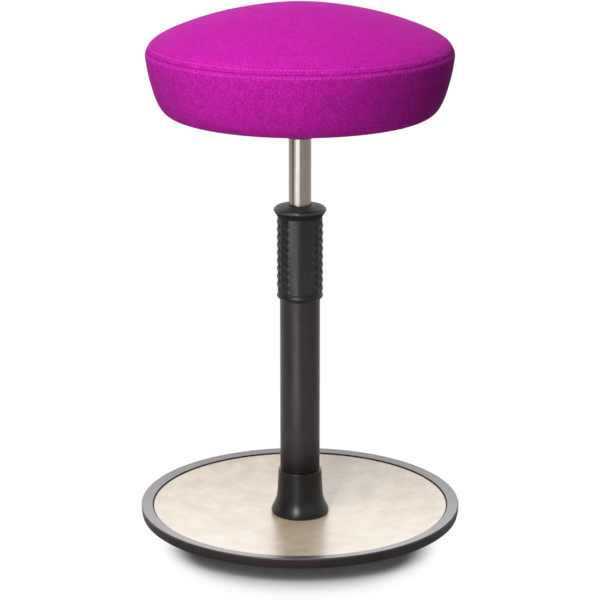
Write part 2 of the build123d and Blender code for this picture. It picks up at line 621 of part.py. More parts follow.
plate_screw = ring(0, PLATE_SCREW_RADIUS, PLATE_LOW, BOARD_TOP - 2)
plate_screw += ring(0, PLATE_SCREW_HEAD, PLATE_LOW - PLATE_SCREW_RISE, PLATE_LOW)
plate_screw = fillet(plate_screw.edges().group_by(Axis.Z)[0], 0.4 * PLATE_SCREW_RISE)
hex_socket = extrude(RegularPolygon(SOCKET_RADIUS, 6), 0.7 * PLATE_SCREW_RISE)
plate_screw -= Pos(0, 0, PLATE_LOW - PLATE_SCREW_RISE) * hex_socket
plate_screws = at_points(plate_points, plate_screw)
NUT_BORE = PLATE_SCREW_RADIUS + RUN_GAP
NUT_BARREL = NUT_BORE + NUT_WALL
t_nut = ring(NUT_BORE, NUT_BARREL, BOARD_LOW + 4, BOARD_TOP - SCREW_FIT)
t_nut += ring(NUT_BORE, NUT_FLANGE_RADIUS, BOARD_TOP - SCREW_FIT - NUT_FLANGE_THICK, BOARD_TOP - SCREW_FIT)
t_nuts = at_points(plate_points, t_nut)

# Two ears welded on the plate carry the lever's pin.
EAR_INNER = LEVER_WIDTH / 2 + EAR_SIDE_GAP
EAR_OUTER = EAR_INNER + EAR_THICK
EAR_HEIGHT = PIVOT_Z - LINING_LOW
ear_outline = Pos(PIVOT_REACH, LINING_LOW + EAR_HEIGHT / 2) * Rectangle(2 * EAR_RADIUS, EAR_HEIGHT)
ear_outline += Pos(PIVOT_REACH, PIVOT_Z) * Circle(EAR_RADIUS)
ear_outline -= Pos(PIVOT_REACH, PIVOT_Z) * Circle(PIVOT_RADIUS + PRESS_FIT)
ear = extrude(Plane.XZ * ear_outline, EAR_THICK)
lever_bracket = [Pos(0, -EAR_INNER, 0) * ear, Pos(0, EAR_OUTER, 0) * ear]
pin_axis = Pos(PIVOT_REACH, 0, PIVOT_Z) * Rot(90, 0, 0)
lever_pin = pin_axis * Pos(0, 0, -EAR_OUTER - 1) * extrude(Circle(PIVOT_RADIUS), 2 * EAR_OUTER + 1)
lever_pin += pin_axis * Pos(0, 0, EAR_OUTER) * extrude(Circle(PIVOT_RADIUS + 1.3), 1.6)

# Release lever: a bent steel strip, and its moulded handle
LEVER_END = PIVOT_REACH + LEVER_REACH
lever_path = [
    (PIVOT_REACH - LEVER_TAIL, PIVOT_Z),
    (KNEE_X, PIVOT_Z),
    (ELBOW_X, LEVER_OUTER_Z),
    (LEVER_END, LEVER_OUTER_Z),
]


def strip(path, thick):
    """The side view of a bent strip with rounded bends."""
    outline = None
    for (x0, z0), (x1, z1) in zip(path[:-1], path[1:]):
        length = math.hypot(x1 - x0, z1 - z0)
        angle = math.degrees(math.atan2(z1 - z0, x1 - x0))
        leg = Pos((x0 + x1) / 2, (z0 + z1) / 2) * Rot(0, 0, angle) * Rectangle(length, thick)
        outline = leg if outline is None else outline + leg
    for x, z in path[1:-1]:
        outline += Pos(x, z) * Circle(thick / 2)
    return outline


lever_outline = strip(lever_path, LEVER_THICK)
lever_outline += Pos(PIVOT_REACH, PIVOT_Z) * Circle(PIVOT_BOSS)
lever_outline -= Pos(PIVOT_REACH, PIVOT_Z) * Circle(PIVOT_RADIUS + RUN_GAP)
release_lever = Pos(0, LEVER_WIDTH / 2, 0) * extrude(Plane.XZ * lever_outline, LEVER_WIDTH)

HANDLE_X = LEVER_END - HANDLE_OVERLAP + HANDLE_LENGTH / 2
handle = Pos(HANDLE_X, 0, LEVER_OUTER_Z) * Box(HANDLE_LENGTH, HANDLE_WIDTH, HANDLE_THICK)
handle = fillet(handle.edges().filter_by(Axis.Z), 0.3 * HANDLE_WIDTH)
handle = fillet(handle.faces().sort_by(Axis.Z)[0].edges(), 0.3 * HANDLE_THICK)
handle = fillet(handle.faces().sort_by(Axis.Z)[-1].edges(), 0.3 * HANDLE_THICK)
lever_grip = handle - release_lever

# Seat board and lining, with a slot for the lever

BOARD_RADIUS = SEAM_RADIUS - BOARD_INSET
SLOT_START = PIVOT_REACH - LEVER_TAIL - SLOT_MARGIN - 4
SLOT_END = ELBOW_X + 26
board_slot = Pos((SLOT_START + SLOT_END) / 2, 0, (BOARD_LOW + BOARD_TOP) / 2) * Box(
    SLOT_END - SLOT_START, 2 * SLOT_HALF, BOARD_THICK + 4
)
board_hole = ring(0, NUT_BARREL + SCREW_FIT, BOARD_LOW - 1, BOARD_TOP + 1)
board_hole += ring(0, NUT_FLANGE_RADIUS + 0.3, BOARD_TOP - SCREW_FIT - NUT_FLANGE_THICK, BOARD_TOP + 1)
seat_board = fillet(ring(0, BOARD_RADIUS, BOARD_LOW, BOARD_TOP).edges(), 1.5)
seat_board -= board_slot
seat_board -= ring(0, BOARD_CENTRE, BOARD_LOW - 2, BOARD_TOP + 2)
seat_board -= at_points(plate_points, board_hole)

HEM_RADIUS = BOARD_RADIUS - HEM_WIDTH
lining_slot = Pos(SLOT_END / 2, 0, LINING_LOW) * Box(SLOT_END, 2 * SLOT_HALF, 6 * LINING_THICK)
dust_cover = ring(BOARD_CENTRE, HEM_RADIUS - 0.5, LINING_LOW, BOARD_LOW)
dust_cover -= lining_slot
dust_cover -= at_points(plate_points, plate_hole)

# Seat cover: a crown panel and a drawn-in side band meet in a sunk seam just
# above the widest ring; the band is turned under and stapled to the board.
SEAM_Z = SEAT_LOW + SEAM_HEIGHT
SEAM_FLOOR = SEAM_RADIUS - SEAM_SINK
# Dome: shares of the way out to the shoulder and of the rise above it
dome_shape = [
    (0.0, 1.0),
    (0.111, 0.986),
    (0.247, 0.926),
    (0.494, 0.732),
    (0.679, 0.527),
    (0.802, 0.353),
    (0.926, 0.142),
]
# Shoulder: distance in from the seam, height above it
shoulder_shape = [
    (SHOULDER_WIDTH, SHOULDER_RISE),
    (14.2, 14.4),
    (8.2, 10.5),
    (4.2, 6.9),
    (1.4, 3.6),
    (0.1, 1.2),
]
dome_span = SEAM_RADIUS - SHOULDER_WIDTH
dome_rise = CROWN_RISE - SHOULDER_RISE
crown = [(dome_span * out, SEAM_Z + SHOULDER_RISE + dome_rise * up) for out, up in dome_shape]
crown += [(SEAM_RADIUS - inset, SEAM_Z + rise) for inset, rise in shoulder_shape]
crown.append((SEAM_FLOOR, SEAM_Z + 0.1))
# Side: out from the seam and down from it, then the lower edge up from the hem
upper_side = [(0.7, 1.4), (1.8, 4.0), (1.9, 10.0), (0.9, 19.0), (-1.0, 30.0), (-4.0, 41.5)]
lower_side = [(27.5, 25.0), (23.0, 14.5), (16.8, 5.6), (10.5, 1.6), (5.0, 0.25), (1.0, 0.0)]
side = [(SEAM_FLOOR, SEAM_Z - 0.1)]
side += [(SEAM_RADIUS + out, SEAM_Z - drop) for out, drop in upper_side]
side += [(BOARD_RADIUS + out, SEAT_LOW + rise) for out, rise in lower_side]
crown_curve = Spline(*crown)
side_curve = Spline(*side)
crown_inner = inside_of(crown_curve, COVER_THICK, 16, 0.0, 0.96)
crown_inner.append((SEAM_FLOOR - COVER_THICK, crown[-1][1]))
side_inner = [(SEAM_FLOOR - COVER_THICK, side[0][1])]
side_inner += inside_of(side_curve, COVER_THICK, 14, 0.08, 1.0)

cover_top_panel = turned(
    crown_curve,
    Line(crown[-1], crown_inner[-1]),
    Spline(*reversed(crown_inner)),
    Line(crown_inner[0], crown[0]),
)
cover_side_band = turned(
    side_curve,
    Line(side[-1], (HEM_RADIUS, SEAT_LOW)),
    Line((HEM_RADIUS, SEAT_LOW), (HEM_RADIUS, BOARD_LOW)),
    Line((HEM_RADIUS, BOARD_LOW), side_inner[-1]),
    Spline(*reversed(side_inner)),
    Line(side_inner[0], side[0]),
)

# Foam: fills the cover down to the board and wraps round the board's edge
foam_skin = inside_of(crown_curve, COVER_THICK + FOAM_GAP, 12, 0.0, 0.93)
foam_skin += inside_of(side_curve, COVER_THICK + FOAM_GAP, 10, 0.16, 0.93)
FOAM_LOW = BOARD_TOP + FOAM_GAP
FOAM_INNER = BOARD_RADIUS + FOAM_GAP
foam_core = turned(
    Spline(*foam_skin),
    Line(foam_skin[-1], (FOAM_INNER, foam_skin[-1][1])),
    Line((FOAM_INNER, foam_skin[-1][1]), (FOAM_INNER, FOAM_LOW)),
    Line((FOAM_INNER, FOAM_LOW), (0, FOAM_LOW)),
    Line((0, FOAM_LOW), foam_skin[0]),
)

# Staples: wire crowns on the hem, legs through it into the board
STAPLE_CIRCLE = HEM_RADIUS + 0.6 * HEM_WIDTH
leg_place = (STAPLE_WIDTH - STAPLE_WIRE) / 2
staple_flat = 0.6 * STAPLE_WIRE
staple = Pos(0, 0, SEAT_LOW - staple_flat / 2) * Box(STAPLE_WIRE, STAPLE_WIDTH, staple_flat)
staple_leg = Box(STAPLE_WIRE, STAPLE_WIRE, STAPLE_LEG + staple_flat)
staple += [Pos(0, y, SEAT_LOW + (STAPLE_LEG - staple_flat) / 2) * staple_leg for y in (-leg_place, leg_place)]
staples = around(STAPLE_COUNT, STAPLE_CIRCLE, staple, 360.0 / STAPLE_COUNT / 2)
cover_side_band -= staples
seat_board -= staples

pieces = {
    "centre_pad": centre_pad,
    "rocker_sole": rocker_sole,
    "base_dish": base_dish,
    "edge_ring": edge_ring,
    "deck_insert": deck_insert,
    "foot_flange": foot_flange,
    "flange_screws": flange_screws,
    "foot_boot": foot_boot,
    "column_tube": column_tube,
    "guide_bush": guide_bush,
    "grip_sleeve": grip_sleeve,
    "lower_race": lower_race,
    "upper_race": upper_race,
    "ball_cage": ball_cage,
    "bearing_balls": bearing_balls,
    "retaining_clip": retaining_clip,
    "rubber_buffer": rubber_buffer,
    "piston_rod": piston_rod,
    "piston": piston,
    "piston_seal": piston_seal,
    "piston_nut": piston_nut,
    "gas_cylinder": gas_cylinder,
    "rod_guide": rod_guide,
    "valve_body": valve_body,
    "valve_pin": valve_pin,
    "taper_hub": taper_hub,
    "seat_plate": seat_plate,
    "plate_screws": plate_screws,
    "t_nuts": t_nuts,
    "lever_bracket": lever_bracket,
    "lever_pin": lever_pin,
    "release_lever": release_lever,
    "lever_grip": lever_grip,
    "seat_board": seat_board,
    "dust_cover": dust_cover,
    "staples": staples,
    "foam_core": foam_core,
    "cover_top_panel": cover_top_panel,
    "cover_side_band": cover_side_band,
}
for name, solid in pieces.items():
    save(name, solid)
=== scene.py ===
import math

import bpy
import numpy as np
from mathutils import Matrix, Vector


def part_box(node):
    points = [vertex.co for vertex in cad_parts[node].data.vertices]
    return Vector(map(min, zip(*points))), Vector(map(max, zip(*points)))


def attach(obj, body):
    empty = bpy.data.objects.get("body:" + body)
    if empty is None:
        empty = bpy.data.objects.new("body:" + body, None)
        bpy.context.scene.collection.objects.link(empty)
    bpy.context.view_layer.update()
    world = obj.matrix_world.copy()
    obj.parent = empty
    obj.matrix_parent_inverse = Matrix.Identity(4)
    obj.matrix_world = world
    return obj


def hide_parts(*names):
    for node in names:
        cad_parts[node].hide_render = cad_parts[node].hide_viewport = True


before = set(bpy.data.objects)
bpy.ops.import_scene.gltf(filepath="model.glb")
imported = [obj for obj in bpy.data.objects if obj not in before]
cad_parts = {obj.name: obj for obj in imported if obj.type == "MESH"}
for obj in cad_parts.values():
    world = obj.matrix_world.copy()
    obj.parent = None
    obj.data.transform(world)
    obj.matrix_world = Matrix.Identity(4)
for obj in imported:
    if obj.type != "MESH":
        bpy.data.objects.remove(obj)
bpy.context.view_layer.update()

# Floor pad and sole
# Two mouldings of black rubber: the flat pad that the stool stands on, pressed into the
# bowl-shaped sole that it rocks on. Both are glued under the steel dish.

DUST_TOP = 0.008


class Socket:
    """One socket of a node tree. Sums on it add Math nodes to the same tree."""

    def __init__(self, tree, socket=None):
        self.tree = tree
        self.socket = socket

    def node(self, kind, settings, sockets, output=0):
        """Adds a node, sets it up, fills its sockets and gives one of its outputs.
        A list holds the links of a socket that takes more than one."""
        made = self.tree.nodes.new(kind)
        for name, value in settings.items():
            if name == "stops":
                ramp = made.color_ramp.elements
                while len(ramp) < len(value):
                    ramp.new(1.0)
                for stop, (position, colour) in zip(ramp, value):
                    stop.position = position
                    stop.color = colour
            else:
                setattr(made, name, value)
        for name, value in sockets.items():
            for each in value if isinstance(value, list) else [value]:
                if isinstance(each, Socket):
                    self.tree.links.new(each.socket, made.inputs[name])
                else:
                    made.inputs[name].default_value = each
        return Socket(self.tree, made.outputs[output] if made.outputs else None)

    def twin(self, output):
        """Another output of the node that this socket belongs to."""
        return Socket(self.tree, self.socket.node.outputs[output])

    def sum(self, operation, first, second):
        """A Math node on two values."""
        return self.node("ShaderNodeMath", {"operation": operation}, {0: first, 1: second})

    def __add__(self, other):
        return self.sum("ADD", self, other)

    def __radd__(self, other):
        return self.sum("ADD", other, self)

    def __sub__(self, other):
        return self.sum("SUBTRACT", self, other)

    def __rsub__(self, other):
        return self.sum("SUBTRACT", other, self)

    def __mul__(self, other):
        return self.sum("MULTIPLY", self, other)

    def __rmul__(self, other):
        return self.sum("MULTIPLY", other, self)

    def __truediv__(self, other):
        return self.sum("DIVIDE", self, other)

    def __rtruediv__(self, other):
        return self.sum("DIVIDE", other, self)


def paint(red, green, blue):
    """A colour given as it looks on a screen, 0 to 255, as the renderer's linear colour."""
    shares = [value / 255 for value in (red, green, blue)]
    linear = [s / 12.92 if s <= 0.04045 else ((s + 0.055) / 1.055) ** 2.4 for s in shares]
    return (*linear, 1.0)


def start_material(name):
    """A new material, and its Object coordinates to build patterns on."""
    made = bpy.data.materials.new(name)
    made.use_nodes = True
    made.node_tree.nodes.clear()
    place = Socket(made.node_tree).node("ShaderNodeTexCoord", {}, {}, "Object")
    return made, place


def close_material(place, sockets):
    """Gives the material its surface."""
    surface = place.node("ShaderNodeBsdfPrincipled", {}, sockets)
    place.node("ShaderNodeOutputMaterial", {}, {"Surface": surface})


def along(place, axis):
    """One coordinate of a place."""
    return place.node("ShaderNodeSeparateXYZ", {}, {"Vector": place}, axis)


def noise(place, per_metre, detail=2.0, rough=0.5):
    """Cloudy noise from 0 to 1, with so many blotches a metre."""
    sockets = {"Vector": place, "Scale": per_metre, "Detail": detail, "Roughness": rough}
    return place.node("ShaderNodeTexNoise", {}, sockets)


def shades(value, *stops):
    """A value turned into a colour through stops of position and colour."""
    return value.node("ShaderNodeValToRGB", {"stops": stops}, {"Fac": value})


def fade(value, low, high):
    """0 below the first limit, 1 above the second and smooth between."""
    sockets = {"Value": value, "From Min": low, "From Max": high}
    return value.node("ShaderNodeMapRange", {"interpolation_type": "SMOOTHSTEP"}, sockets)


def relief(height, depth):
    """A bump that stands so many metres high where the height is 1."""
    return height.node("ShaderNodeBump", {}, {"Strength": 1.0, "Distance": depth, "Height": height})


def dress(material, *names):
    """Puts a material on CAD nodes."""
    for name in names:
        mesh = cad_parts[name].data
        mesh.materials.clear()
        mesh.materials.append(material)


sole_rubber, place = start_material("sole_rubber")
dust = noise(place, 90, 5, 0.6) * (1 - fade(along(place, "Z"), 0.0, DUST_TOP))
sole_grain = noise(place, 1400, 2)
close_material(place, {
    "Base Color": shades(dust, (0.0, paint(34, 33, 33)), (1.0, paint(92, 88, 84))),
    "Roughness": 0.62 + 0.2 * sole_grain,
    "Normal": relief(sole_grain, 0.00012),
})
dress(sole_rubber, "centre_pad", "rocker_sole", "rubber_buffer", "piston_seal")

# Dish and foot flange
# The load-bearing steel: a pressed dish, and the turned flange that is screwed to it and
# carries the column. The seat's hub, plate and lever have the same black powder coat.

black_coat, place = start_material("black_coat")
coat_peel = noise(place, 1700, 2)
close_material(place, {
    "Base Color": shades(noise(place, 60, 4), (0.3, paint(36, 36, 38)), (0.7, paint(46, 46, 48))),
    "Roughness": 0.42 + 0.16 * coat_peel,
    "Normal": relief(coat_peel, 0.00006),
})
dress(black_coat, "base_dish", "foot_flange", "taper_hub", "seat_plate", "lever_bracket", "release_lever")

# Deck
# A round of pale pressed fibre board that lies in the dish. Its fibres show as a faint
# cloudy mottle under a clear satin varnish, and a painted shade darkens its edge by the rim.

DECK_EDGE_SHADE = 0.0010
DECK_FIBRE_SHARE = 0.28


def from_axis(place):
    """Distance from the column's axis."""
    flat = place.node("ShaderNodeVectorMath", {"operation": "MULTIPLY"}, {0: place, 1: (1, 1, 0)})
    return place.node("ShaderNodeVectorMath", {"operation": "LENGTH"}, {0: flat}, "Value")


def mixed(share, first, second):
    """Two colours mixed: the first where the share is 0, the second where it is 1."""
    return share.node("ShaderNodeMix", {"data_type": "RGBA"}, {0: share, 6: first, 7: second}, 2)


deck_board, place = start_material("deck_board")
deck_clouds = noise(place, 34, 6, 0.62)
deck_fibres = noise(place, 420, 3, 0.7)
deck_colour = shades(
    (1 - DECK_FIBRE_SHARE) * deck_clouds + DECK_FIBRE_SHARE * deck_fibres,
    (0.36, paint(168, 147, 118)),
    (0.5, paint(183, 164, 138)),
    (0.64, paint(195, 180, 158)),
)
deck_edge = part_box("deck_insert")[1].x
# A painted shade: the board's outer edge turns dark brown and has no varnish coat, for the shade in the
# gap under the rim.
deck_edge_shade = fade(from_axis(place), deck_edge - DECK_EDGE_SHADE, deck_edge - DECK_EDGE_SHADE / 2)
close_material(place, {
    "Base Color": mixed(deck_edge_shade, deck_colour, paint(64, 56, 46)),
    "Roughness": 0.3 + 0.1 * deck_fibres,
    "Coat Weight": 1.0 - deck_edge_shade,
    "Coat Roughness": 0.42,
    "Coat IOR": 1.5,
    "Normal": relief(deck_fibres, 0.00002),
})
dress(deck_board, "deck_insert")

# Rim
# A smooth satin moulding of dark polyurethane, cast round the dish's edge. It guards the
# edge when the stool rocks, so its outer foot is a little scuffed. Its top is glossiest.

RIM_GAP_DARK = 0.0009
RIM_GAP_END = 0.0018
RIM_TOP_START = 0.0030
RIM_TOP_FULL = 0.0016
SCUFF_TOP = 0.006

rim_skin, place = start_material("rim_skin")
rim_low, rim_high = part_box("edge_ring")
rim_height = along(place, "Z")
# A painted shade: the inner wall next to the deck is near black and matte, for the shade in the gap.
rim_unshaded = fade(from_axis(place), deck_edge + RIM_GAP_DARK, deck_edge + RIM_GAP_END)
rim_top = fade(rim_height, rim_high.z - RIM_TOP_START, rim_high.z - RIM_TOP_FULL)
scuffs = noise(place, 260, 4, 0.7) * (1 - fade(rim_height, rim_low.z, rim_low.z + SCUFF_TOP))
rim_clouds = noise(place, 500, 2)
rim_colour = shades(scuffs, (0.25, paint(46, 38, 37)), (0.8, paint(76, 67, 65)))
close_material(place, {
    "Base Color": mixed(rim_unshaded, paint(6, 5, 5), rim_colour),
    "Roughness": 0.9 - 0.56 * rim_unshaded + 0.1 * rim_clouds,
    "Coat Weight": 0.6 * rim_unshaded * rim_top,
    "Coat Roughness": 0.3,
    "Coat Tint": paint(255, 247, 255),
    "Specular IOR Level": 0.35,
    "Normal": relief(rim_clouds, 0.00002),
})
dress(rim_skin, "edge_ring")

# Screws, races, balls, rod and other bright steel
# Zinc-plated or ground steel: four screws hold the flange, a thrust bearing lets the rod
# turn, and the rod carries the gas cylinder. The plating is slightly cloudy.

zinc, place = start_material("zinc")
zinc_clouds = noise(place, 700, 4, 0.6)
close_material(place, {
    "Base Color": shades(zinc_clouds, (0.3, paint(168, 170, 172)), (0.7, paint(194, 195, 196))),
    "Metallic": 1.0,
    "Roughness": 0.24 + 0.16 * zinc_clouds,
})
dress(zinc, "flange_screws", "lower_race", "upper_race", "bearing_balls", "retaining_clip", "piston_rod")
dress(zinc, "piston_nut", "plate_screws", "t_nuts", "lever_pin", "staples", "valve_pin")

# Boot
# A flared moulding of satin black rubber, pulled over the tube's foot so that it hides
# the flange. It rests on the deck and shines softly on its flare.

boot_rubber, place = start_material("boot_rubber")
boot_grain = noise(place, 1100, 3)
close_material(place, {
    "Base Color": shades(noise(place, 80, 3), (0.3, paint(15, 15, 16)), (0.7, paint(21, 21, 22))),
    "Roughness": 0.29 + 0.05 * boot_grain,
    "Specular IOR Level": 0.38,
    "Normal": relief(boot_grain, 0.00003),
})
dress(boot_rubber, "foot_boot")

# Column tube
# Drawn steel tube, pressed over the flange's spigot and powder coated in satin anthracite.
# Just above the boot a painted shade makes the coat darkest, and its gloss is lower there.

SHADE_BELOW_BOOT_TOP = 0.012
SHADE_ABOVE_BOOT_TOP = 0.05
DULL_BELOW_BOOT_TOP = 0.002
DULL_ABOVE_BOOT_TOP = 0.038

tube_coat, place = start_material("tube_coat")
tube_peel = noise(place, 1500, 2)
tube_height = along(place, "Z")
boot_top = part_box("foot_boot")[1].z
# A painted shade: the coat's colour turns near black just above the boot.
tube_unshaded = fade(tube_height, boot_top - SHADE_BELOW_BOOT_TOP, boot_top + SHADE_ABOVE_BOOT_TOP)
tube_gloss = fade(tube_height, boot_top - DULL_BELOW_BOOT_TOP, boot_top + DULL_ABOVE_BOOT_TOP)
tube_colour = shades(noise(place, 40, 4), (0.3, paint(42, 34, 38)), (0.7, paint(49, 41, 45)))
close_material(place, {
    "Base Color": mixed(tube_unshaded, paint(9, 7, 8), tube_colour),
    "Roughness": 0.4 + 0.06 * tube_peel,
    "Specular IOR Level": 0.1,
    "Coat Weight": 0.1 + 0.66 * tube_gloss,
    "Coat Roughness": 0.26,
    "Normal": relief(tube_peel, 0.00005),
})
dress(tube_coat, "column_tube")

# Bush, ball cage, rod guide and lever handle
# Injection-moulded plastic: the bush guides the cylinder in the tube's top, the others
# sit in the bearing and the gas spring, and the handle is moulded on the lever's end.

plastic, place = start_material("plastic")
plastic_grain = noise(place, 1800, 2)
close_material(place, {
    "Base Color": shades(noise(place, 120, 3), (0.3, paint(40, 40, 41)), (0.7, paint(48, 48, 49))),
    "Roughness": 0.45 + 0.15 * plastic_grain,
    "Normal": relief(plastic_grain, 0.00004),
})
dress(plastic, "guide_bush", "ball_cage", "rod_guide", "lever_grip")

# Piston and valve body
# Turned aluminium inside the gas spring, with fine tool marks round the axis. A nut holds
# the piston on the rod, and the valve body sits in the cylinder's top.


def tool_marks(place, per_metre, detail):
    """Marks of a tool that went round the axis, so many a metre of height."""
    sockets = {"W": along(place, "Z"), "Scale": per_metre, "Detail": detail}
    return place.node("ShaderNodeTexNoise", {"noise_dimensions": "1D"}, sockets)


aluminium, place = start_material("aluminium")
turn_marks = tool_marks(place, 3000, 2)
close_material(place, {
    "Base Color": shades(turn_marks, (0.3, paint(196, 197, 199)), (0.7, paint(214, 215, 216))),
    "Metallic": 1.0,
    "Roughness": 0.25 + 0.15 * turn_marks,
    "Normal": relief(turn_marks, 0.00002),
})
dress(aluminium, "piston", "valve_body")

# Grip
# A sleeve of black rubber on the tube's top, with a smooth panel in front and rows of
# round bumps round the rest. The bumps are part of the moulding.

COLLAR_DEPTH = 0.0070
COLLAR_EDGE = 0.0002
LIP_START = 0.0060
LIP_FULL = 0.0020
COLLAR_SHINE_FULL = 0.026
COLLAR_SHINE_END = 0.010
NECK_FOOT = 0.0140
NECK_EDGE = 0.001
PANEL_REACH = 0.0236
PANEL_SIDE_EDGE = 0.0014
PANEL_FOOT = 0.0095
PANEL_FOOT_EDGE = 0.002
GRIP_FOOT_BEAD = 0.0142
BUMP_COLUMN_TURN = math.radians(17.0)
BUMP_COLUMNS = 18
BUMP_ROWS = 9
BUMP_PITCH = 0.010
BUMP_RADIUS = 0.0040
BUMP_RISE = 0.0009
BUMP_SINK = 0.00005

grip_rubber, place = start_material("grip_rubber")
grip_low, grip_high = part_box("grip_sleeve")
collar_foot = grip_high.z - COLLAR_DEPTH
neck_foot = grip_high.z - NECK_FOOT
panel_foot = grip_low.z + PANEL_FOOT
grip_grain = noise(place, 1300, 3)
grip_height = along(place, "Z")
grip_depth = along(place, "Y")
collar = fade(grip_height, collar_foot - COLLAR_EDGE, collar_foot + COLLAR_EDGE)
collar_lip = collar * fade(from_axis(place), grip_high.x - LIP_START, grip_high.x - LIP_FULL)
collar_front = collar_lip * (1 - fade(grip_depth, -COLLAR_SHINE_FULL, -COLLAR_SHINE_END))
grip_body = 1 - fade(grip_height, neck_foot - NECK_EDGE, neck_foot + NECK_EDGE / 2)
grip_neck = 1 - collar - grip_body
grip_front = 1 - fade(grip_depth, -PANEL_REACH, PANEL_SIDE_EDGE - PANEL_REACH)
grip_panel = grip_body * grip_front * fade(grip_height, panel_foot, panel_foot + PANEL_FOOT_EDGE)
grip_colour = shades(noise(place, 90, 3), (0.3, paint(21, 20, 23)), (0.7, paint(27, 26, 29)))
# A painted shade: the neck under the collar's lip is darkened to near black.
grip_shaded = mixed(grip_neck, grip_colour, paint(10, 10, 11))
collar_wear = 0.26 * collar - 0.12 * collar_lip - 0.18 * collar_front
grip_wear = 0.1 * grip_grain - 0.1 * grip_panel + collar_wear
# The collar is painted paler than the body, a painted highlight for its top and lip, which face the
# light.
close_material(place, {
    "Base Color": mixed(collar, grip_shaded, paint(62, 60, 63)),
    "Roughness": 0.3 + 0.5 * grip_neck + grip_wear,
    "Specular IOR Level": 0.4,
    "Coat Weight": 0.5 * grip_panel + 0.6 * collar_front,
    "Coat Roughness": 0.2,
    "Normal": relief(grip_grain, 0.00004),
})
dress(grip_rubber, "grip_sleeve")


def skin_radius(node, height):
    """Radius of a turned piece's outer skin at a height, read off its solid."""
    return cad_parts[node].ray_cast(Vector((1, 0, height)), Vector((-1, 0, 0)))[1].x


def add_object(name, data):
    """A new object in the scene."""
    made = bpy.data.objects.new(name, data)
    bpy.context.scene.collection.objects.link(made)
    return made


def finished_mesh(maker):
    """The mesh that an object's modifiers or curves give. The object itself is removed."""
    evaluated = maker.evaluated_get(bpy.context.evaluated_depsgraph_get())
    mesh = bpy.data.meshes.new_from_object(evaluated)
    bpy.data.objects.remove(maker)
    return mesh


def node_piece(name, build, sizes, material):
    """A mesh made by Geometry Nodes. The sizes are the tree's named inputs."""
    tree = bpy.data.node_groups.new(name, "GeometryNodeTree")
    tree.interface.new_socket("Geometry", in_out="OUTPUT", socket_type="NodeSocketGeometry")
    keys = {}
    for label, value in sizes.items():
        kind = "NodeSocketInt" if isinstance(value, int) else "NodeSocketFloat"
        keys[label] = tree.interface.new_socket(label, in_out="INPUT", socket_type=kind).identifier
    start = Socket(tree)
    inputs = {label: start.node("NodeGroupInput", {}, {}, label) for label in sizes}
    shape = build(start, **inputs)
    whole = start.node("GeometryNodeRealizeInstances", {}, {"Geometry": shape})
    dressed = start.node("GeometryNodeSetMaterial", {}, {"Geometry": whole, "Material": material})
    start.node("NodeGroupOutput", {}, {"Geometry": dressed})
    maker = add_object(name + "_maker", bpy.data.meshes.new(name + "_maker"))
    modifier = maker.modifiers.new("shape", "NODES")
    modifier.node_group = tree
    for label, value in sizes.items():
        modifier[keys[label]] = value
    return add_object(name, finished_mesh(maker))


def bump_field(start, radius, middle, columns, rows, across, pitch, bump_radius, rise, sink):
    """Domes on a staggered flat grid, wrapped round the grip with the panel's gap in front."""
    grid = start.node("GeometryNodeMeshGrid", {}, {
        "Size X": (columns - 1) * across,
        "Size Y": (rows - 1) * pitch,
        "Vertices X": columns,
        "Vertices Y": rows,
    })
    spot = start.node("GeometryNodeInputPosition", {}, {})
    count = along(spot, "X") / across + 0.5 * columns
    column = start.node("ShaderNodeMath", {"operation": "ROUND"}, {0: count})
    odd = column.sum("FLOORED_MODULO", column, 2.0)
    shift = start.node("ShaderNodeCombineXYZ", {}, {"Y": (odd - 0.5) * (0.5 * pitch)})
    staggered = start.node("GeometryNodeSetPosition", {}, {"Geometry": grid, "Offset": shift})
    # The cone only gives the dome its net of points, and its own height goes.
    cone = start.node("GeometryNodeMeshCone", {"fill_type": "NONE"}, {
        "Vertices": 12,
        "Side Segments": 4,
        "Radius Top": 0.0,
        "Radius Bottom": bump_radius,
        "Depth": 0.001,
    })
    reach = from_axis(spot) / bump_radius
    flat_spot = start.node("ShaderNodeVectorMath", {"operation": "MULTIPLY"}, {0: spot, 1: (1, 1, 0)})
    dome_height = start.node("ShaderNodeCombineXYZ", {}, {"Z": rise * (1 - reach * reach) - sink})
    dome_spot = start.node("ShaderNodeVectorMath", {"operation": "ADD"}, {0: flat_spot, 1: dome_height})
    dome = start.node("GeometryNodeSetPosition", {}, {"Geometry": cone, "Position": dome_spot})
    domes = start.node("GeometryNodeInstanceOnPoints", {}, {"Points": staggered, "Instance": dome})
    flat = start.node("GeometryNodeRealizeInstances", {}, {"Geometry": domes})
    turn = along(spot, "X") / radius
    sine = start.node("ShaderNodeMath", {"operation": "SINE"}, {0: turn})
    cosine = start.node("ShaderNodeMath", {"operation": "COSINE"}, {0: turn})
    out = radius + along(spot, "Z")
    wrapped = start.node("ShaderNodeCombineXYZ", {}, {
        "X": 0 - out * sine,
        "Y": out * cosine,
        "Z": along(spot, "Y") + middle,
    })
    round_grip = start.node("GeometryNodeSetPosition", {}, {"Geometry": flat, "Position": wrapped})
    return start.node("GeometryNodeSetShadeSmooth", {}, {0: round_grip})


bump_middle = grip_low.z + GRIP_FOOT_BEAD + BUMP_PITCH / 4 + (BUMP_ROWS - 1) * BUMP_PITCH / 2
grip_radius = skin_radius("grip_sleeve", bump_middle)
grip_bumps = node_piece("grip_bumps", bump_field, {
    "radius": grip_radius,
    "middle": bump_middle,
    "columns": BUMP_COLUMNS,
    "rows": BUMP_ROWS,
    "across": BUMP_COLUMN_TURN * grip_radius,
    "pitch": BUMP_PITCH,
    "bump_radius": BUMP_RADIUS,
    "rise": BUMP_RISE,
    "sink": BUMP_SINK,
}, grip_rubber)
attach(grip_bumps, "base")

# Gas cylinder
# Bright steel tube of the gas spring, ground round its axis so that light stretches along
# it in a clear upright stripe. It slides and turns in the bush.

